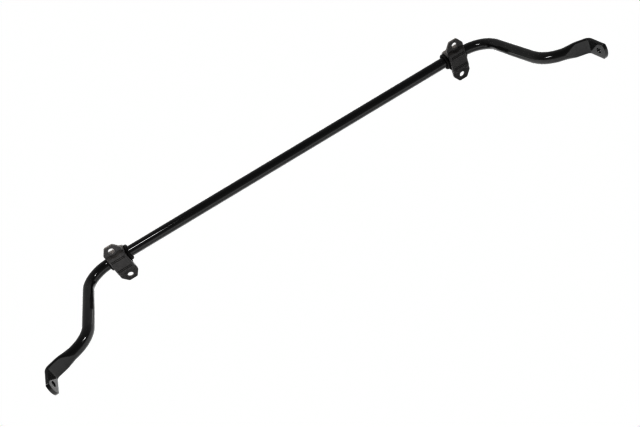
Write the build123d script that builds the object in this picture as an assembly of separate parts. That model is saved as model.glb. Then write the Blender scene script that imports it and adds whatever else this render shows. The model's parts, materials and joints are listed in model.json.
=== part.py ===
from build123d import *
import math
import os

# Sway bar (stabiliser bar) with two clamp brackets, in millimetres.
# Frame: origin midway between the four bracket bolt holes, on the plane the ears seat on.
# +X along the bar to the right, both arms reach towards -Y, +Z up. The bolts run along Y.
# The sizes below are from the bar's own axis at the middle of its straight run. The last step
# moves every piece by AXIS_Y from there into the frame.

# ---- bar ----
TUBE_DIA = 22.0
TUBE_WALL = 3.0
BEND_RADIUS = 52.0              # of the tube's axis
CORNER = (453.2, 0.0, 0.0)      # where the straight run's axis would meet the arm's axis
ELBOW = (471.8, -182.4, 13.9)   # where the arm's axis would meet the outward leg's axis
OUTWARD_SLOPE = -0.40           # Y over X of the outward leg
END_RISE = 0.05                 # rise in Z for each mm towards -Y, beyond the elbow
EYE_PLANE_X = 545.5             # middle plane of the flat eye

# ---- pressed end and link eye ----
FLAT_THICKNESS = 6.0
FLAT_HEIGHT = math.pi * (TUBE_DIA - TUBE_WALL) * TUBE_WALL / FLAT_THICKNESS  # the tube's steel
FLAT_CORNER_RADIUS = 2.0
SQUEEZE_START = 32.0            # distance along the outward leg, from the elbow point
SQUEEZE_LENGTH = 26.0
SQUEEZE_STEPS = 5
QUARTER_POINTS = 9              # outline points in a quarter of each pressed section
EYE_FOLD_RADIUS = 9.0
EYE_TIP_Y = -256.2
EYE_TIP_RADIUS = 21.7
EYE_TIP_ROUNDING = 4.4          # of the tip's two corners
EYE_HOLE_Y = -240.0
EYE_HOLE_DIA = 10.5

# ---- clamp sheets ----
BRACKET_X = 385.0
SHEET = 2.0
BOLT_HOLE_DIA = 12.0
BOLT_Z = 34.6
EAR_FRONT_Y = -18.6
EAR_BACK_Y = EAR_FRONT_Y + SHEET
EAR_HALF_WIDTH = 18.0
EAR_SHOULDER_Z = 32.0           # where the clipped ear corners start
EAR_TIP = (8.5, 45.5)           # half width and height of the ear's far edge
EAR_CORNER_RADIUS = 4.0

# ---- raised dome of the front plate ----
DOME_RAISE = 4.9                # from the ears to the front panel
DOME_BASE_HALF = 26.5           # half height at the ears
DOME_TOP_HALF = 23.0            # half height at the front panel
DOME_CORNER_RADIUS = 7.0
DOME_EDGE_RADIUS = 3.6
RELIEF_BASE_RADIUS = 11.2       # room round each bolt, at the ears
RELIEF_TOP_RADIUS = 14.5        # and at the front panel
GROOVE_Z = 12.5                 # middle of each pair of pressed grooves
GROOVE_PITCH = 3.2
GROOVE_RADIUS = 1.0
GROOVE_DEPTH = 0.7

# ---- rear saddle ----
SADDLE_RADIUS = 20.0
SADDLE_END_RADIUS = 5.5
NOTCH_RADIUS = 14.0             # opening in the end walls for the rubber's neck

# ---- rubber bush, in two halves ----
RUN_CLEARANCE = 0.05            # between the bar and the bush
SEAT_CLEARANCE = 0.1            # between the rubber and the sheets
COLLAR_RADIUS = 16.0
COLLAR_END = 22.5               # half length of the bush over its collars
COLLAR_ROUNDING = 1.5
MOUTH_CHAMFER = 2.0
HALF_GAP = 0.2

AXIS_Y = -EAR_FRONT_Y           # from the frame's origin to the bar's axis
OVERSHOOT = 1.0                 # how far a cutting shape stands past what it cuts
SEAM_TOLERANCE = 0.3


def mirrored_point(point):
    return (-point[0], point[1], point[2])


def direction(start, end):
    return (Vector(*end) - Vector(*start)).normalized()


def bent_path(points, radius):
    """Straight runs along the points, joined by arcs of one radius."""
    edges = []
    run_start = Vector(*points[0])
    for before, corner, after in zip(points, points[1:], points[2:]):
        towards = direction(before, corner)
        away = direction(corner, after)
        half_turn = math.radians(towards.get_angle(away)) / 2
        meeting = Vector(*corner)
        tangent = radius * math.tan(half_turn)
        arc_start = meeting - towards * tangent
        arc_end = meeting + away * tangent
        sag = radius / math.cos(half_turn) - radius
        arc_middle = meeting + (away - towards).normalized() * sag
        edges.append(Edge.make_line(run_start, arc_start))
        edges.append(Edge.make_three_point_arc(arc_start, arc_middle, arc_end))
        run_start = arc_end
    edges.append(Edge.make_line(run_start, Vector(*points[-1])))
    return Wire(edges)


def end_point(x, y):
    """A point of the plane that the outward leg and the eye lie in."""
    return (x, y, ELBOW[2] + END_RISE * (ELBOW[1] - y))


def section_plane(origin, along):
    """A plane square to the bar. Its Y axis is square to the plane the end lies in."""
    end_up = Vector(0, END_RISE, 1)
    return Plane(origin=origin, x_dir=end_up.cross(along), z_dir=along)


def between(start, end, amount):
    return start + (end - start) * amount


def quarter_point(distance, half_width, half_height, corner):
    """A point of a rounded oblong's upper right quarter, walking up from its right side."""
    side = half_height - corner
    bend = math.pi / 2 * corner
    if distance <= side:
        return half_width, distance
    if distance <= side + bend:
        angle = (distance - side) / corner
        return half_width - corner + corner * math.cos(angle), side + corner * math.sin(angle)
    return half_width - corner - (distance - side - bend), half_height


def pressed_section(origin, along, amount):
    """The tube's outline, pressed from round (amount 0) to flat (amount 1), as a face."""
    half_width = between(TUBE_DIA, FLAT_THICKNESS, amount) / 2
    half_height = between(TUBE_DIA, FLAT_HEIGHT, amount) / 2
    corner = between(TUBE_DIA / 2, FLAT_CORNER_RADIUS, amount)
    quarter = half_width + half_height - 2 * corner + math.pi / 2 * corner
    plane = section_plane(origin, along)
    outline = []
    for quarter_number, (x_side, y_side) in enumerate(((1, 1), (-1, 1), (-1, -1), (1, -1))):
        for step in range(QUARTER_POINTS):
            distance = quarter * step / QUARTER_POINTS
            if quarter_number % 2 == 1:
                distance = quarter - distance
            x, y = quarter_point(distance, half_width, half_height, corner)
            outline.append(plane.from_local_coords(Vector(x_side * x, y_side * y)))
    return Face(Wire([Edge.make_spline(outline, periodic=True)]))


def squeezed_stretch(start, along):
    """The stretch that goes smoothly from the round tube to the pressed flat."""
    sections = [(section_plane(start, along) * Circle(TUBE_DIA / 2)).face()]
    for step in range(1, SQUEEZE_STEPS + 1):
        amount = step / SQUEEZE_STEPS
        eased = amount * amount * (3 - 2 * amount)
        place = start + along * SQUEEZE_LENGTH * amount
        sections.append(pressed_section(place, along, eased))
    return loft(sections)


def tip_trim(tip, along):
    """What is cut from the end of the flat to leave its rounded tip."""
    plane = Plane(origin=tip, x_dir=along, z_dir=(1, 0, 0))
    half_height = FLAT_HEIGHT / 2 + OVERSHOOT / 2
    corner_back = EYE_TIP_RADIUS - math.sqrt(EYE_TIP_RADIUS ** 2 - half_height ** 2)
    trim_start = -2 * corner_back
    trim_end = 2 * OVERSHOOT
    kept_start = trim_start - OVERSHOOT
    upper_corner = (-corner_back, half_height)
    lower_corner = (-corner_back, -half_height)
    sides = Polyline(upper_corner, (kept_start, half_height), (kept_start, -half_height), lower_corner)
    end = ThreePointArc(lower_corner, (0, 0), upper_corner)
    kept = make_face(sides + end)
    tip_corners = kept.vertices().group_by(Axis.X)[-1]
    kept = fillet(tip_corners, EYE_TIP_ROUNDING)
    around = Pos((trim_start + trim_end) / 2, 0) * Rectangle(trim_end - trim_start, 2 * FLAT_HEIGHT)
    return extrude(plane * (around - kept), amount=FLAT_THICKNESS, both=True)


def eye(start, corner, along):
    """The pressed flat, folded once and ending in the eye with its link hole."""
    tip = Vector(*end_point(EYE_PLANE_X, EYE_TIP_Y))
    tip_along = direction(corner, tuple(tip))
    past_tip = tip + tip_along * OVERSHOOT
    path = bent_path([tuple(start), corner, tuple(past_tip)], EYE_FOLD_RADIUS)
    body = sweep(pressed_section(start, along, 1), path=path)
    body -= tip_trim(tip, tip_along)
    hole_plane = Plane(origin=end_point(EYE_PLANE_X, EYE_HOLE_Y), z_dir=(1, 0, 0))
    return body - extrude(hole_plane * Circle(EYE_HOLE_DIA / 2), amount=FLAT_THICKNESS, both=True)


def joined(pieces, seams):
    """One solid from pieces that meet end to end, at flat faces centred on the seams."""
    faces = []
    for piece in pieces:
        for face in piece.faces():
            at_seam = any((face.center() - seam).length < SEAM_TOLERANCE for seam in seams)
            if not at_seam:
                faces.append(face)
    return Solid(Shell(faces))


def bar():
    """Round bar with its bends, and both pressed ends."""
    eye_corner_y = ELBOW[1] + OUTWARD_SLOPE * (EYE_PLANE_X - ELBOW[0])
    eye_corner = end_point(EYE_PLANE_X, eye_corner_y)
    along = direction(ELBOW, eye_corner)
    round_end = Vector(*ELBOW) + along * SQUEEZE_START
    flat_start = round_end + along * SQUEEZE_LENGTH

    right_points = [CORNER, ELBOW, tuple(round_end)]
    left_points = [mirrored_point(point) for point in reversed(right_points)]
    path = bent_path(left_points + right_points, BEND_RADIUS)
    first_plane = Plane(origin=left_points[0], z_dir=direction(left_points[0], left_points[1]))
    round_bar = sweep(first_plane * Circle(TUBE_DIA / 2), path=path)

    right_end = [squeezed_stretch(round_end, along), eye(flat_start, eye_corner, along)]
    left_end = [mirror(piece, Plane.YZ) for piece in right_end]
    right_seams = [round_end, flat_start]
    left_seams = [Vector(*mirrored_point(tuple(seam))) for seam in right_seams]
    return joined([round_bar] + right_end + left_end, right_seams + left_seams)


def sheet_plane(y, z=0.0):
    """A plane square to Y that looks towards -Y. Its sketch axes are X and Z."""
    return Plane(origin=(0, y, z), x_dir=(1, 0, 0), z_dir=(0, -1, 0))


def side_plane(x):
    """A plane square to X. Its sketch axes are Y and Z."""
    return Plane(origin=(x, 0, 0), x_dir=(0, 1, 0), z_dir=(1, 0, 0))


def ear_sheet(front_y):
    """Both bolt ears and the web between them, as one flat sheet with its bolt holes."""
    upper = [(EAR_HALF_WIDTH, EAR_SHOULDER_Z), EAR_TIP]
    right = [(x, -z) for x, z in reversed(upper)] + upper
    outline = right + [(-x, z) for x, z in reversed(right)]
    face = make_face(Polyline(*outline, close=True))
    face = fillet(face.vertices(), EAR_CORNER_RADIUS)
    for z in (BOLT_Z, -BOLT_Z):
        face -= Pos(0, z) * Circle(BOLT_HOLE_DIA / 2)
    return extrude(sheet_plane(front_y) * face, amount=-SHEET)


def grown(base, top, y):
    """A size that is base at the ears' front and top at the front panel."""
    return base + (top - base) * (EAR_FRONT_Y - y) / DOME_RAISE


def dome(inset):
    """The front plate's raised dome as a solid block, smaller by inset on every side."""
    back_y = EAR_BACK_Y + inset
    front_y = EAR_FRONT_Y - DOME_RAISE + inset
    width = 2 * (EAR_HALF_WIDTH - inset)
    ends = []
    for y in (back_y, front_y):
        height = 2 * (grown(DOME_BASE_HALF, DOME_TOP_HALF, y) - inset)
        ends.append(sheet_plane(y) * RectangleRounded(width, height, DOME_CORNER_RADIUS - inset))
    block = loft(ends, ruled=True)
    block = fillet(block.edges().group_by(Axis.Y)[0], DOME_EDGE_RADIUS - inset)
    for z in (BOLT_Z, -BOLT_Z):
        ends = []
        for y in (back_y + OVERSHOOT, front_y - OVERSHOOT):
            radius = grown(RELIEF_BASE_RADIUS, RELIEF_TOP_RADIUS, y) + inset
            ends.append(sheet_plane(y, z) * Circle(radius))
        block -= loft(ends, ruled=True)
    return block


def pressed_grooves():
    """Two pairs of shallow grooves along the front panel."""
    panel_y = EAR_FRONT_Y - DOME_RAISE
    half_run = EAR_HALF_WIDTH - DOME_EDGE_RADIUS
    grooves = []
    for middle_z in (GROOVE_Z, -GROOVE_Z):
        for side in (-0.5, 0.5):
            z = middle_z + side * GROOVE_PITCH
            axis_y = panel_y - GROOVE_RADIUS + GROOVE_DEPTH
            plane = Plane(origin=(0, axis_y, z), z_dir=(1, 0, 0))
            grooves.append(extrude(plane * Circle(GROOVE_RADIUS), amount=half_run, both=True))
    return grooves


def front_plate():
    """Flat ears with a raised dome that closes the front of the bush."""
    outside = dome(0)
    plate = ear_sheet(EAR_FRONT_Y) + outside
    plate -= dome(SHEET)
    for groove in pressed_grooves():
        plate -= groove
    return plate


def d_bar(front_y, radius, half_length):
    """A D-shaped bar along X: flat front, flat top and bottom, round back."""
    round_back = Circle(radius) & Pos(radius / 2, 0) * Rectangle(radius, 2 * radius)
    profile = round_back + Pos(front_y / 2, 0) * Rectangle(-front_y, 2 * radius)
    return extrude(side_plane(0) * profile, amount=half_length, both=True)


def saddle_block(inset):
    """The rear saddle as a solid block: flat sides, round back and rounded ends."""
    front_y = EAR_BACK_Y - inset
    block = d_bar(front_y, SADDLE_RADIUS - inset, EAR_HALF_WIDTH - inset)
    ends = block.faces().filter_by(Axis.X)
    behind_y = front_y + SHEET / 2
    end_edges = [edge for face in ends for edge in face.edges() if edge.center().Y > behind_y]
    return fillet(end_edges, SADDLE_END_RADIUS - inset)


def saddle_notch():
    """The slot in both end walls that lets the rubber's neck and the bar through."""
    return d_bar(EAR_BACK_Y - OVERSHOOT, NOTCH_RADIUS, EAR_HALF_WIDTH + OVERSHOOT)


def rear_saddle():
    """Flat ears with a deep round saddle that holds the back of the bush."""
    saddle = ear_sheet(EAR_BACK_Y) + saddle_block(0)
    saddle -= saddle_block(SHEET)
    return saddle - saddle_notch()


def bush_body():
    """The whole bush before it is bored and split: seat, necks and two collars."""
    seat_radius = SADDLE_RADIUS - SHEET - SEAT_CLEARANCE
    seat_half = EAR_HALF_WIDTH - SHEET - SEAT_CLEARANCE
    front_y = EAR_FRONT_Y - DOME_RAISE + SHEET + SEAT_CLEARANCE
    seat = d_bar(front_y, seat_radius, seat_half)
    seat_ends = seat.faces().filter_by(Axis.X)
    seat = fillet([edge for face in seat_ends for edge in face.edges()], SADDLE_END_RADIUS - SHEET)

    neck_radius = NOTCH_RADIUS - SEAT_CLEARANCE
    collar_start = EAR_HALF_WIDTH + SEAT_CLEARANCE
    neck_half = (collar_start + COLLAR_END) / 2
    neck = extrude(side_plane(0) * Circle(neck_radius), amount=neck_half, both=True)
    body = seat + neck
    for side in (1, -1):
        length = COLLAR_END - collar_start
        collar = extrude(side_plane(side * collar_start) * Circle(COLLAR_RADIUS), amount=side * length)
        collar = fillet(collar.edges().filter_by(GeomType.CIRCLE), COLLAR_ROUNDING)
        body += collar
    return body


def bush_bore():
    """The bar's running hole, opened out at both mouths."""
    radius = TUBE_DIA / 2 + RUN_CLEARANCE
    bore = extrude(side_plane(0) * Circle(radius), amount=COLLAR_END + OVERSHOOT, both=True)
    for side in (1, -1):
        mouth = loft([
            side_plane(side * (COLLAR_END - MOUTH_CHAMFER)) * Circle(radius),
            side_plane(side * COLLAR_END) * Circle(radius + MOUTH_CHAMFER),
        ], ruled=True)
        bore += mouth
    return bore


def bush_half(side):
    """One half of the split bush. side is -1 for the front half and +1 for the rear."""
    whole = bush_body() - bush_bore()
    depth = 2 * SADDLE_RADIUS
    middle_y = side * (depth + HALF_GAP) / 2
    keep = Pos(0, middle_y, 0) * Box(3 * COLLAR_END, depth, 3 * SADDLE_RADIUS)
    return whole & keep


if __name__ == "__main__":
    os.makedirs("parts", exist_ok=True)
    export_step(Pos(0, AXIS_Y, 0) * bar(), "parts/bar.step")
    bracket_parts = {
        "front_plate": front_plate(),
        "rear_saddle": rear_saddle(),
        "bush_front": bush_half(-1),
        "bush_rear": bush_half(1),
    }
    for side_name, x in (("left", -BRACKET_X), ("right", BRACKET_X)):
        for part_name, part in bracket_parts.items():
            export_step(Pos(x, AXIS_Y, 0) * part, f"parts/{side_name}_{part_name}.step")
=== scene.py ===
import json
import math

import bmesh
import bpy
from mathutils import Matrix, Vector


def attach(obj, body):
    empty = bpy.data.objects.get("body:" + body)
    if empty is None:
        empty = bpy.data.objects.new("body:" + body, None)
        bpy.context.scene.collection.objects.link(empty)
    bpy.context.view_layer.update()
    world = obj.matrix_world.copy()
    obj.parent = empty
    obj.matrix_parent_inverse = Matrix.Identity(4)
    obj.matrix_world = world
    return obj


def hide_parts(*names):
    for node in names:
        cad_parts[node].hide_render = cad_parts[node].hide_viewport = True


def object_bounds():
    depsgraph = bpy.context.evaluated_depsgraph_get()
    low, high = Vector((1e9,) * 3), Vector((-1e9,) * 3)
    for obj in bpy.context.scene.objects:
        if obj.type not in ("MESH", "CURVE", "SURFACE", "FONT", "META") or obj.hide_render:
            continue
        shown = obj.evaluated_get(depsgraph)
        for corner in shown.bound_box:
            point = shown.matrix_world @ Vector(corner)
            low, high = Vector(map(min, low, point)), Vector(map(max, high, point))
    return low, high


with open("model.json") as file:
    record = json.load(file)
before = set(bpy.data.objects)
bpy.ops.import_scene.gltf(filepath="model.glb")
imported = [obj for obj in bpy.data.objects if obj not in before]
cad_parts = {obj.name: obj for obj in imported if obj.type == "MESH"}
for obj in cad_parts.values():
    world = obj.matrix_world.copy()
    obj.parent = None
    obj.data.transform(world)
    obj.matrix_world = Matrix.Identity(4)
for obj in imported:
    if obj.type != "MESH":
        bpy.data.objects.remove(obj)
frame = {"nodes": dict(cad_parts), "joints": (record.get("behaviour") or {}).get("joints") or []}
bpy.context.view_layer.update()
CAD_LOW, CAD_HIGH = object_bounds()

# Looks of the sway bar, in metres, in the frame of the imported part.
MM = 0.001

# ---- places taken from the frame ----
JOINTS = {joint["name"]: Vector(joint["pos_m"]) for joint in frame["joints"]}
BUSH_CENTRES = {
    "left": JOINTS["left_bracket_swivel"],
    "right": JOINTS["right_bracket_swivel"],
}
BAR_MIDDLE = (BUSH_CENTRES["left"] + BUSH_CENTRES["right"]) / 2
FLOOR_Z = CAD_LOW.z

# ---- camera, measured from the middle of the bar's straight run ----
CAMERA_OFFSET = Vector((-0.11467, -1.14239, 0.77689))
CAMERA_AIM = Vector((-0.001, 0.0, -0.1694))
CAMERA_ROLL = math.radians(-27.8)
CAMERA_LENS_MM = 39.39
SENSOR_WIDTH_MM = 36.0
CAMERA_SHIFT = (-0.0009, 0.0006)    # of the lens, in picture widths

# ---- rubber bush, between the bar and the clamp sheets ----
BAR_RADIUS = 11.0 * MM
SHEET = 2.0 * MM
BRACKET_HALF_WIDTH = 18.0 * MM
SADDLE_RADIUS = 20.0 * MM
SADDLE_END_RADIUS = 5.5 * MM
PANEL_REACH = 23.5 * MM         # from the bar's axis to the outside of the front panel
NOTCH_RADIUS = 14.0 * MM
RUN_CLEARANCE = 0.05 * MM
SEAT_CLEARANCE = 0.1 * MM
BORE_RADIUS = BAR_RADIUS + RUN_CLEARANCE
NECK_RADIUS = NOTCH_RADIUS - SEAT_CLEARANCE
SEAT_RADIUS = SADDLE_RADIUS - SHEET - SEAT_CLEARANCE
SEAT_FRONT = PANEL_REACH - SHEET - SEAT_CLEARANCE
SEAT_HALF = BRACKET_HALF_WIDTH - SHEET - SEAT_CLEARANCE
SEAT_ROUNDING = SADDLE_END_RADIUS - SHEET
SEAT_CORNER_POWER = 14.0        # the higher it is, the squarer the seat's front half
COLLAR_RADIUS = 16.0 * MM
COLLAR_START = BRACKET_HALF_WIDTH + SEAT_CLEARANCE
COLLAR_END = 22.5 * MM
LIP_RADIUS = 1.5 * MM
MOUTH_CHAMFER = 2.0 * MM
HALF_GAP = 0.1 * MM
ARC_STEPS = 40
ROUNDING_STEPS = 5
SMOOTH_UNDER = math.radians(35.0)

# ---- steel pieces ----
BAR_EDGE_RADIUS = 0.5 * MM
SHEET_EDGE_RADIUS = 0.35 * MM
EDGE_SEGMENTS = 2
WELD_REACH = 0.002 * MM
SHARP_OVER = math.radians(40.0)

# ---- colours and finish ----
PAINT_COLOURS = ((0.026, 0.026, 0.027), (0.036, 0.036, 0.035))
PAINT_DUST = (0.065, 0.063, 0.058)
PAINT_WORN = (0.12, 0.118, 0.116)
PAINT_ROUGHNESS = (0.07, 0.15)
PAINT_IOR = 1.9
COAT_COLOURS = ((0.105, 0.103, 0.103), (0.125, 0.122, 0.121))
COAT_DUST = (0.21, 0.195, 0.18)
COAT_WORN = (0.26, 0.255, 0.25)
# Painted shade: the dark colour mixed into grooves and corners, where shade falls.
COAT_PAINTED_SHADE = (0.012, 0.012, 0.012)
COAT_ROUGHNESS = (0.34, 0.46)
RUBBER_COLOURS = ((0.045, 0.044, 0.043), (0.075, 0.072, 0.069))
RUBBER_ROUGHNESS = (0.55, 0.72)
SATIN_IOR = 1.45
PAPER_COLOURS = ((0.80, 0.80, 0.80), (0.84, 0.84, 0.84))
PAPER_ROUGHNESS = 0.9
GROOVE_REACH = 1.7 * MM         # hollows narrower than about this get painted shade

# ---- studio, measured from the middle of the bar's straight run ----
FLOOR_SIDE = 30.0
FLOOR_GLOW = 0.75
ROOM_GLOW = 1.0
PRINT_CONTRAST = 0.45           # view gamma: below 1 gives darker blacks under a white ground
# Brightness of the room over the bar, from the horizon at its back (0) to its front (1).
ROOM_ARCH = (
    (0.00, 0.95),
    (0.11, 0.90),
    (0.32, 0.60),
    (0.47, 0.42),
    (0.60, 0.42),
    (0.86, 0.50),
    (1.00, 0.85),
)
STRIP_HEIGHT = 1.5
# Strips that light the bar's gloss: name, x, y, (length, depth), power in watts.
STRIPS = (
    ("left_strip", -0.90, -0.72, (0.82, 0.40), 12.0),
    ("near_strip", 1.0, -0.56, (0.04, 0.24), 0.6),
    ("right_strip", 1.14, -0.50, (0.12, 0.24), 1.6),
    ("far_strip", 1.75, -0.46, (0.80, 0.20), 12.0),
)


# ---------------------------------------------------------------- node helpers
def new_material(name):
    """A node material and its shader."""
    material = bpy.data.materials.new(name)
    material.use_nodes = True
    shader = material.node_tree.nodes["Principled BSDF"]
    return material, shader


def add_node(tree, kind, **settings):
    node = tree.nodes.new(kind)
    for key, value in settings.items():
        setattr(node, key, value)
    return node


def object_point(tree):
    return add_node(tree, "ShaderNodeTexCoord").outputs["Object"]


def noise(tree, point, feature, detail=2.0, rough=0.5, stretch=(1.0, 1.0, 1.0)):
    """A noise pattern whose features are about this many metres across."""
    mapping = add_node(tree, "ShaderNodeMapping")
    mapping.inputs["Scale"].default_value = stretch
    tree.links.new(point, mapping.inputs["Vector"])
    node = add_node(tree, "ShaderNodeTexNoise")
    node.inputs["Scale"].default_value = 1.0 / feature
    node.inputs["Detail"].default_value = detail
    node.inputs["Roughness"].default_value = rough
    tree.links.new(mapping.outputs["Vector"], node.inputs["Vector"])
    return node.outputs["Fac"]


def spread(tree, value, from_low, from_high, to_low, to_high):
    """Maps one range to another, and stops at its ends."""
    node = add_node(tree, "ShaderNodeMapRange", clamp=True)
    for name, number in (
        ("From Min", from_low),
        ("From Max", from_high),
        ("To Min", to_low),
        ("To Max", to_high),
    ):
        node.inputs[name].default_value = number
    tree.links.new(value, node.inputs["Value"])
    return node.outputs["Result"]


def calculate(tree, operation, first, second):
    node = add_node(tree, "ShaderNodeMath", operation=operation)
    for index, value in enumerate((first, second)):
        if isinstance(value, (int, float)):
            node.inputs[index].default_value = value
        else:
            tree.links.new(value, node.inputs[index])
    return node.outputs["Value"]


def mix_colour(tree, amount, first, second):
    """Blends two colours, each an (r, g, b) or another node's output."""
    node = add_node(tree, "ShaderNodeMix", data_type="RGBA")
    colour_inputs = [socket for socket in node.inputs if socket.type == "RGBA"]
    for socket, colour in zip(colour_inputs, (first, second)):
        if isinstance(colour, tuple):
            socket.default_value = (*colour, 1.0)
        else:
            tree.links.new(colour, socket)
    tree.links.new(amount, node.inputs["Factor"])
    return next(socket for socket in node.outputs if socket.type == "RGBA")


def bump(tree, height, depth, under=None):
    node = add_node(tree, "ShaderNodeBump")
    node.inputs["Strength"].default_value = 1.0
    node.inputs["Distance"].default_value = depth
    tree.links.new(height, node.inputs["Height"])
    if under is not None:
        tree.links.new(under, node.inputs["Normal"])
    return node.outputs["Normal"]


def upward(tree):
    """1 on faces that look up and 0 on faces that look down."""
    geometry = add_node(tree, "ShaderNodeNewGeometry")
    split = add_node(tree, "ShaderNodeSeparateXYZ")
    tree.links.new(geometry.outputs["Normal"], split.inputs["Vector"])
    return spread(tree, split.outputs["Z"], -1.0, 1.0, 0.0, 1.0)


def edge_wear(tree, radius):
    """1 on sharp outer edges and 0 on flat or hollow places."""
    rounded = add_node(tree, "ShaderNodeBevel", samples=4)
    rounded.inputs["Radius"].default_value = radius
    geometry = add_node(tree, "ShaderNodeNewGeometry")
    compare = add_node(tree, "ShaderNodeVectorMath", operation="DOT_PRODUCT")
    tree.links.new(rounded.outputs["Normal"], compare.inputs[0])
    tree.links.new(geometry.outputs["Normal"], compare.inputs[1])
    return spread(tree, compare.outputs["Value"], 0.985, 0.86, 0.0, 1.0)


def hollow(tree, reach):
    """How shaded a place is by what stands near it: 1 deep in grooves and corners narrower than this
    reach, and 0 in the open.
    """
    shade = add_node(tree, "ShaderNodeAmbientOcclusion", samples=8)
    shade.inputs["Distance"].default_value = reach
    return spread(tree, shade.outputs["AO"], 0.97, 0.62, 0.0, 1.0)


# ---------------------------------------------------------------- materials
def bar_paint():
    """Gloss black paint with a fine orange peel, a little dust and worn edges."""
    material, shader = new_material("gloss_black_paint")
    tree = material.node_tree
    point = object_point(tree)
    blotches = noise(tree, point, 0.05, detail=3.0)
    dust = noise(tree, point, 0.0022, detail=4.0, rough=0.7)
    deep = mix_colour(tree, spread(tree, blotches, 0.35, 0.65, 0.0, 1.0),
                      *PAINT_COLOURS)
    dusty = calculate(tree, "MULTIPLY", spread(tree, dust, 0.55, 0.8, 0.0, 0.35), upward(tree))
    colour = mix_colour(tree, dusty, deep, PAINT_DUST)
    worn = mix_colour(tree, calculate(tree, "MULTIPLY", edge_wear(tree, 0.6 * MM), 0.5),
                      colour, PAINT_WORN)
    tree.links.new(worn, shader.inputs["Base Color"])
    scuffs = noise(tree, point, 0.012, detail=5.0, rough=0.65)
    tree.links.new(spread(tree, scuffs, 0.35, 0.7, *PAINT_ROUGHNESS), shader.inputs["Roughness"])
    shader.inputs["IOR"].default_value = PAINT_IOR
    peel = noise(tree, point, 0.0016, detail=1.0)
    ripple = noise(tree, point, 0.009, detail=1.0)
    normal = bump(tree, ripple, 0.000002)
    tree.links.new(bump(tree, peel, 0.000002, normal), shader.inputs["Normal"])
    return material


def bracket_coat():
    """Satin dark grey coat over pressed sheet: worn edges, settled dust, and painted shade darkening
    the hollows.
    """
    material, shader = new_material("satin_grey_coat")
    tree = material.node_tree
    point = object_point(tree)
    mottling = noise(tree, point, 0.012, detail=4.0, rough=0.5)
    deep = mix_colour(tree, spread(tree, mottling, 0.35, 0.65, 0.0, 1.0),
                      *COAT_COLOURS)
    settled = spread(tree, upward(tree), 0.62, 1.0, 0.0, 0.7)
    dust = calculate(tree, "MULTIPLY", settled, spread(tree, mottling, 0.3, 0.7, 0.6, 1.0))
    dusty = mix_colour(tree, dust, deep, COAT_DUST)
    worn = mix_colour(tree, calculate(tree, "MULTIPLY", edge_wear(tree, 0.5 * MM), 0.6),
                      dusty, COAT_WORN)
    # Painted shade: grooves and corners are darkened in the base colour by ambient occlusion.
    with_painted_shade = mix_colour(tree, hollow(tree, GROOVE_REACH), worn, COAT_PAINTED_SHADE)
    tree.links.new(with_painted_shade, shader.inputs["Base Color"])
    tree.links.new(spread(tree, mottling, 0.3, 0.7, *COAT_ROUGHNESS), shader.inputs["Roughness"])
    shader.inputs["IOR"].default_value = SATIN_IOR
    grain = noise(tree, point, 0.0005, detail=2.0)
    waves = noise(tree, point, 0.004, detail=2.0)
    normal = bump(tree, waves, 0.00003)
    tree.links.new(bump(tree, grain, 0.00001, normal), shader.inputs["Normal"])
    return material


def bush_rubber():
    """Matt black moulded rubber with a fine grain and a grey bloom."""
    material, shader = new_material("moulded_rubber")
    tree = material.node_tree
    point = object_point(tree)
    bloom = noise(tree, point, 0.005, detail=4.0, rough=0.7)
    colour = mix_colour(tree, spread(tree, bloom, 0.4, 0.75, 0.0, 1.0),
                        *RUBBER_COLOURS)
    tree.links.new(colour, shader.inputs["Base Color"])
    tree.links.new(spread(tree, bloom, 0.3, 0.7, *RUBBER_ROUGHNESS), shader.inputs["Roughness"])
    shader.inputs["IOR"].default_value = SATIN_IOR
    grain = noise(tree, point, 0.0004, detail=3.0, rough=0.6)
    tree.links.new(bump(tree, grain, 0.00004), shader.inputs["Normal"])
    return material


def floor_paper():
    """Plain pale paper. The camera sees it evenly lit; the object is lit by what it gives back."""
    material, shader = new_material("pale_paper")
    tree = material.node_tree
    fibres = noise(tree, object_point(tree), 0.003, detail=3.0)
    colour = mix_colour(tree, fibres, *PAPER_COLOURS)
    tree.links.new(colour, shader.inputs["Base Color"])
    shader.inputs["Roughness"].default_value = PAPER_ROUGHNESS
    shader.inputs["Specular IOR Level"].default_value = 0.0
    shader.inputs["Emission Color"].default_value = (1.0, 1.0, 1.0, 1.0)
    shader.inputs["Emission Strength"].default_value = FLOOR_GLOW
    even = add_node(tree, "ShaderNodeEmission")
    to_camera = add_node(tree, "ShaderNodeLightPath").outputs["Is Camera Ray"]
    either = add_node(tree, "ShaderNodeMixShader")
    tree.links.new(to_camera, either.inputs["Fac"])
    tree.links.new(shader.outputs["BSDF"], either.inputs[1])
    tree.links.new(even.outputs["Emission"], either.inputs[2])
    output = tree.nodes["Material Output"]
    tree.links.new(either.outputs["Shader"], output.inputs["Surface"])
    return material


# ---------------------------------------------------------------- steel pieces
def finish_steel(node_name, material, edge_radius):
    """Gives a steel node its finish, and rounds its cut edges."""
    piece = frame["nodes"][node_name]
    piece.data.materials.clear()
    piece.data.materials.append(material)
    weld = piece.modifiers.new("weld", "WELD")
    weld.merge_threshold = WELD_REACH
    bevel = piece.modifiers.new("cut_edges", "BEVEL")
    bevel.width = edge_radius
    bevel.segments = EDGE_SEGMENTS
    bevel.limit_method = "ANGLE"
    bevel.angle_limit = SHARP_OVER
    bevel.use_clamp_overlap = True
    shading = piece.modifiers.new("shading", "WEIGHTED_NORMAL")
    shading.keep_sharp = True


# ---------------------------------------------------------------- rubber bushes
def seat_reach(angle, towards):
    """How far the hidden seat stands from the axis. Its front half is squared off."""
    if towards > 0:
        return SEAT_RADIUS
    across = abs(math.cos(angle)) / SEAT_FRONT
    up = abs(math.sin(angle)) / SEAT_RADIUS
    total = across ** SEAT_CORNER_POWER + up ** SEAT_CORNER_POWER
    return total ** (-1.0 / SEAT_CORNER_POWER)


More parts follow.
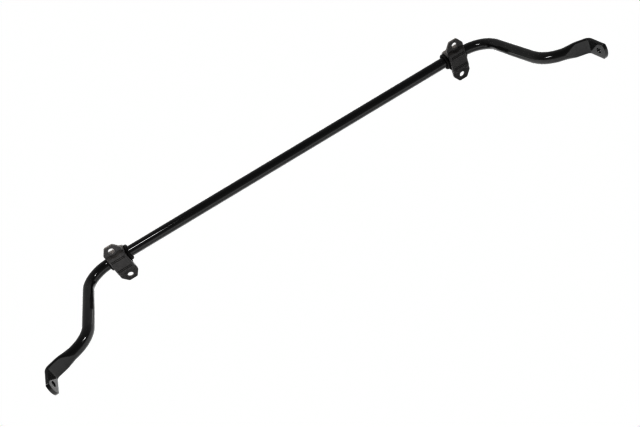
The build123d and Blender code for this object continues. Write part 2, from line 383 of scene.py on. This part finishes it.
def rounding(centre_x, centre_r, radius, start, end):
    """Points of a small arc in the (along, out) plane."""
    points = []
    for step in range(ROUNDING_STEPS + 1):
        angle = start + (end - start) * step / ROUNDING_STEPS
        points.append((centre_x + radius * math.cos(angle), centre_r + radius * math.sin(angle)))
    return points


def half_profile(seat):
    """The bush's outline from its middle to the mouth of the bore, as (along, out)."""
    quarter = math.pi / 2
    seat_end = SEAT_HALF - SEAT_ROUNDING
    points = [(0.0, seat)]
    points += rounding(seat_end, seat - SEAT_ROUNDING, SEAT_ROUNDING, quarter, 0.0)
    points += [(SEAT_HALF, NECK_RADIUS), (COLLAR_START, NECK_RADIUS)]
    inner_lip = COLLAR_START + LIP_RADIUS
    points += rounding(inner_lip, COLLAR_RADIUS - LIP_RADIUS, LIP_RADIUS, 2 * quarter, quarter)
    points += rounding(COLLAR_END - LIP_RADIUS, COLLAR_RADIUS - LIP_RADIUS, LIP_RADIUS, quarter, 0.0)
    points += [
        (COLLAR_END, BORE_RADIUS + MOUTH_CHAMFER),
        (COLLAR_END - MOUTH_CHAMFER, BORE_RADIUS),
    ]
    return points


def bush_profile(seat):
    """The whole closed outline: the outside from end to end, then back along the bore."""
    right = half_profile(seat)
    left = [(-along, out) for along, out in reversed(right[1:])]
    return left + right


def bush_half(name, centre, towards, material):
    """One moulded half. towards is +1 for the rear half and -1 for the front half."""
    mesh = bmesh.new()
    rings = []
    for step in range(ARC_STEPS + 1):
        angle = -math.pi / 2 + math.pi * step / ARC_STEPS
        ring = []
        for along, out in bush_profile(seat_reach(angle, towards)):
            depth = max(out * math.cos(angle), HALF_GAP)
            place = centre + Vector((along, towards * depth, out * math.sin(angle)))
            ring.append(mesh.verts.new(place))
        rings.append(ring)
    count = len(rings[0])
    for first, second in zip(rings, rings[1:]):
        for index in range(count):
            after = (index + 1) % count
            mesh.faces.new((first[index], first[after], second[after], second[index]))
    for ring in (rings[0], rings[-1]):
        face = mesh.faces.new(ring)
        bmesh.ops.triangulate(mesh, faces=[face])
    bmesh.ops.recalc_face_normals(mesh, faces=mesh.faces)
    data = bpy.data.meshes.new(name)
    mesh.to_mesh(data)
    mesh.free()
    data.shade_smooth()
    data.set_sharp_from_angle(angle=SMOOTH_UNDER)
    data.materials.append(material)
    piece = bpy.data.objects.new(name, data)
    bpy.context.scene.collection.objects.link(piece)
    return piece


def add_bushes(material):
    for side, centre in BUSH_CENTRES.items():
        for half, towards in (("front", -1), ("rear", 1)):
            piece = bush_half(f"{side}_rubber_{half}", centre, towards, material)
            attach(piece, f"{side}_bracket")
            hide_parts(f"{side}_bush_{half}")


# ---------------------------------------------------------------- studio
def add_floor(material):
    bpy.ops.mesh.primitive_plane_add(size=FLOOR_SIDE, location=(0, 0, FLOOR_Z))
    floor = bpy.context.object
    floor.name = "studio_floor"
    floor.data.materials.append(material)


def add_softbox(name, place, size, power, aim, only_for=None, gloss=False):
    """A soft rectangular light that looks at a point. It may be kept for some pieces only."""
    data = bpy.data.lights.new(name, "AREA")
    data.shape = "RECTANGLE"
    data.size, data.size_y = size
    data.energy = power
    lamp = bpy.data.objects.new(name, data)
    lamp.location = BAR_MIDDLE + Vector(place)
    towards = BAR_MIDDLE + Vector(aim) - lamp.location
    lamp.rotation_euler = towards.to_track_quat("-Z", "Y").to_euler()
    lamp.visible_camera = False
    lamp.visible_glossy = gloss
    lamp.visible_diffuse = not gloss
    if only_for is not None:
        lamp.light_linking.receiver_collection = only_for
    bpy.context.scene.collection.objects.link(lamp)


def receivers(name, node_names):
    """The only pieces that a light shines on."""
    group = bpy.data.collections.new(name)
    for node_name in node_names:
        group.objects.link(frame["nodes"][node_name])
    return group


def add_lights():
    # Strips whose reflections are the short bright lines on the bar and its bends.
    bar_only = receivers("gloss_pieces", ("bar",))
    for name, x, y, size, power in STRIPS:
        add_softbox(name, (x, y, STRIP_HEIGHT), size, power, (x, y, 0.0), bar_only, gloss=True)
    # A soft light from the left makes the left bracket the paler of the two.
    left_only = receivers("left_sheets", ("left_front_plate", "left_rear_saddle"))
    left_bracket = BUSH_CENTRES["left"] - BAR_MIDDLE
    add_softbox("left_front_light", (-1.0, -0.75, 0.4), (0.5, 0.5), 9.0, left_bracket, left_only)
    # The key light stands behind, so the ears keep it off the front of the domes.
    add_softbox("back_light", (0.0, 1.8, 1.6), (2.4, 1.0), 120.0, (0, 0, 0))


def add_world():
    """White to the camera. To the object: a room that is darkest overhead."""
    world = bpy.data.worlds.new("studio_room")
    bpy.context.scene.world = world
    world.use_nodes = True
    tree = world.node_tree
    background = tree.nodes["Background"]
    towards = add_node(tree, "ShaderNodeTexCoord").outputs["Generated"]
    split = add_node(tree, "ShaderNodeSeparateXYZ")
    tree.links.new(towards, split.inputs["Vector"])
    angle = calculate(tree, "ARCTAN2", split.outputs["Z"], split.outputs["Y"])
    arch = add_node(tree, "ShaderNodeValToRGB")
    tree.links.new(calculate(tree, "DIVIDE", angle, math.pi), arch.inputs["Fac"])
    stops = arch.color_ramp.elements
    while len(stops) < len(ROOM_ARCH):
        stops.new(0.5)
    for stop, (position, brightness) in zip(stops, ROOM_ARCH):
        stop.position = position
        stop.color = (brightness, brightness, brightness, 1.0)
    to_camera = add_node(tree, "ShaderNodeLightPath").outputs["Is Camera Ray"]
    seen = mix_colour(tree, to_camera, arch.outputs["Color"], (1.0, 1.0, 1.0))
    tree.links.new(seen, background.inputs["Color"])
    strength = spread(tree, to_camera, 0.0, 1.0, ROOM_GLOW, 1.0)
    tree.links.new(strength, background.inputs["Strength"])


def add_camera():
    data = bpy.data.cameras.new("camera")
    data.lens = CAMERA_LENS_MM
    data.sensor_width = SENSOR_WIDTH_MM
    data.shift_x, data.shift_y = CAMERA_SHIFT
    data.clip_start = 0.05
    data.clip_end = 50.0
    camera = bpy.data.objects.new("camera", data)
    camera.location = BAR_MIDDLE + CAMERA_OFFSET
    towards = CAMERA_AIM - CAMERA_OFFSET
    level = towards.to_track_quat("-Z", "Y").to_matrix()
    turned = level @ Matrix.Rotation(CAMERA_ROLL, 3, "Z")
    camera.rotation_euler = turned.to_euler()
    bpy.context.scene.collection.objects.link(camera)
    bpy.context.scene.camera = camera


def build():
    finish_steel("bar", bar_paint(), BAR_EDGE_RADIUS)
    coat = bracket_coat()
    for side in BUSH_CENTRES:
        for sheet in ("front_plate", "rear_saddle"):
            finish_steel(f"{side}_{sheet}", coat, SHEET_EDGE_RADIUS)
    add_bushes(bush_rubber())
    add_floor(floor_paper())
    add_lights()
    add_world()
    add_camera()
    bpy.context.scene.view_settings.view_transform = "Standard"
    bpy.context.scene.view_settings.gamma = PRINT_CONTRAST


build()
bpy.context.view_layer.update()
